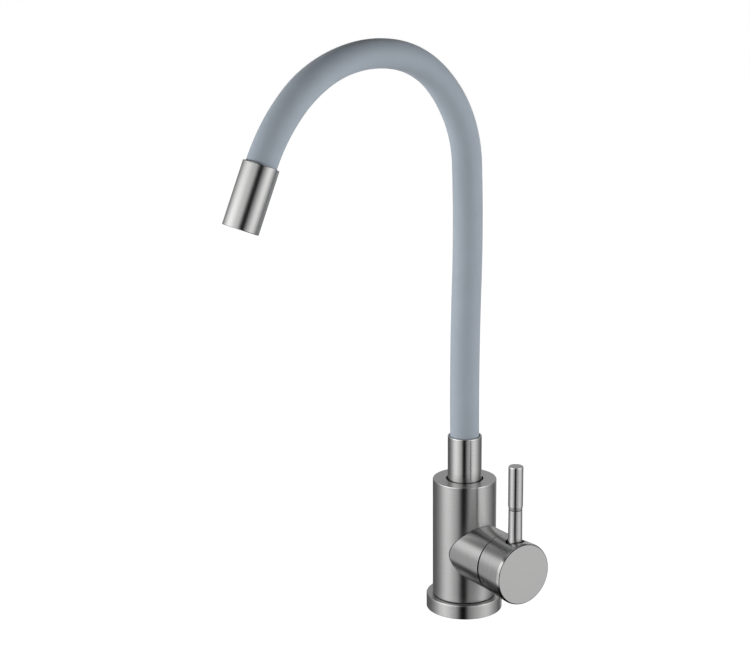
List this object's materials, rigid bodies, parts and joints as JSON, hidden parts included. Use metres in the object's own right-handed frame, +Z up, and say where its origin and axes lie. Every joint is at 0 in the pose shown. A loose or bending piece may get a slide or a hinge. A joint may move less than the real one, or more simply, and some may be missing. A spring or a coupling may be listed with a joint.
{
  "type": "kitchen mixer tap",
  "caption": "Deck-mounted kitchen mixer tap in brushed steel, with a side pin lever and a tall flexible spout sheathed in grey silicone.",
  "frame": {"origin": "middle of the foot's underside, on the deck", "axes": "+Z up along the column, +X along the branch to the lever, -Y the way the spout reaches over the sink"},
  "size_m": [0.0949, 0.2125, 0.4075],
  "materials": {
    "satin_steel": "fine brushing round each turned piece",
    "plain_steel": "as machined",
    "brass": "as machined",
    "silicone": "smooth matte silicone",
    "rubber": "matte seal rubber",
    "dark_plastic": "moulded",
    "white_plastic": "moulded",
    "grey_plastic": "moulded",
    "ceramic": "lapped"
  },
  "bodies": {
    "tap_body": {"base_ring": "satin_steel", "deck_gasket": "rubber", "inlet_block": "plain_steel", "body_shell": "satin_steel", "side_barrel": "satin_steel", "hot_tube": "plain_steel", "cold_tube": "plain_steel", "riser_tube": "plain_steel", "valve_seat": "plain_steel", "cartridge_base": "white_plastic", "port_seal_hot": "rubber", "port_seal_cold": "rubber", "port_seal_mixed": "rubber", "fixed_disc": "ceramic", "cartridge_housing": "white_plastic", "retaining_nut": "brass", "swivel_bush": "brass", "swivel_nut": "dark_plastic"},
    "spout": {"swivel_spigot": "brass", "swivel_oring_lower": "rubber", "swivel_oring_upper": "rubber", "slip_washer": "dark_plastic", "lower_ferrule": "satin_steel", "lower_nipple": "brass", "hose_sleeve_riser": "silicone", "hose_sleeve_crown": "silicone", "gooseneck_hose": "plain_steel", "water_tube": "white_plastic"},
    "spout_head": {"hose_sleeve_drop": "silicone", "upper_nipple": "brass", "outlet_sleeve": "satin_steel", "outlet_adapter": "brass", "aerator_washer": "rubber", "aerator_housing": "dark_plastic", "aerator_screen": "plain_steel", "aerator_core": "white_plastic"},
    "cartridge_rotor": {"cartridge_driver": "grey_plastic", "pivot_pin": "plain_steel"},
    "disc_slider": {"moving_disc": "ceramic", "disc_carrier": "grey_plastic"},
    "lever": {"lever_stem": "plain_steel", "handle_cap": "satin_steel", "lever_rod": "satin_steel", "lever_grip": "satin_steel", "handle_grub_screw": "plain_steel"}
  },
  "joints": [
    {"name": "spout_swivel", "type": "hinge", "parent": "tap_body", "child": "spout", "pos_m": [0, 0, 0.0943], "axis": [0, 0, 1], "continuous": true},
    {"name": "crown_flex", "type": "hinge", "parent": "spout", "child": "spout_head", "pos_m": [0, -0.0552, 0.3761], "axis": [1, 0, 0], "range_deg": [-35, 25], "deforming": ["hose_sleeve_crown", "gooseneck_hose", "water_tube"]},
    {"name": "handle_turn", "type": "hinge", "parent": "tap_body", "child": "cartridge_rotor", "pos_m": [0.0305, 0, 0.0461], "axis": [1, 0, 0], "range_deg": [-45, 45]},
    {"name": "lever_lift", "type": "hinge", "parent": "cartridge_rotor", "child": "lever", "pos_m": [0.0305, 0, 0.0461], "axis": [0, 1, 0], "range_deg": [0, 20]},
    {"name": "disc_slide", "type": "slide", "parent": "cartridge_rotor", "child": "disc_slider", "axis": [0, 0, 1], "range_m": [0, 0.0026]}
  ],
  "couplings": [
    {"joint": "disc_slide", "follows": "lever_lift", "m_per_rad": 0.007}
  ]
}
